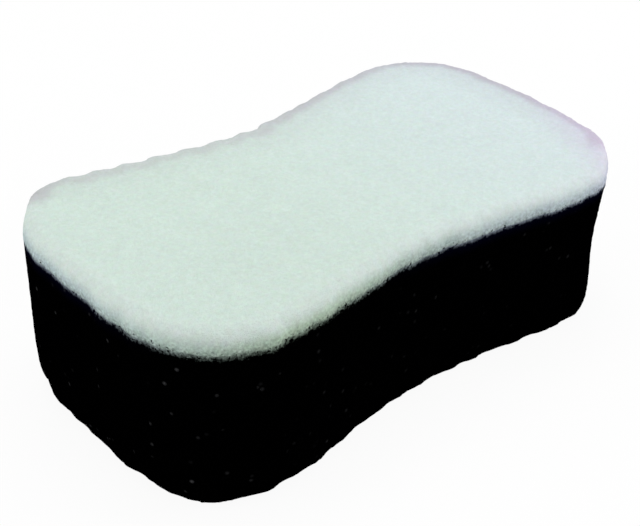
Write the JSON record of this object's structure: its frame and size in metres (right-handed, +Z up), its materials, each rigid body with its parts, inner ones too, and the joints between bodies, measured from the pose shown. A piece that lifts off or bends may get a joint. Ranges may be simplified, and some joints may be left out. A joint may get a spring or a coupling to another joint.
{
  "type": "cleaning sponge",
  "caption": "Hourglass-shaped cleaning sponge: a thick black open-cell foam block with a thin pale foam face bonded over its top.",
  "frame": {"origin": "centre of the flat base of the dark foam block, which the sponge rests on", "axes": "+X along the length of the sponge, +Y across its width, +Z up through the pale face"},
  "size_m": [0.2, 0.11, 0.067],
  "materials": {
    "black_foam": "coarse open-cell foam, matt",
    "pale_foam": "fine-cell foam, matt"
  },
  "bodies": {
    "root": {"foam_block": "black_foam", "face_layer": "pale_foam"}
  },
  "joints": []
}
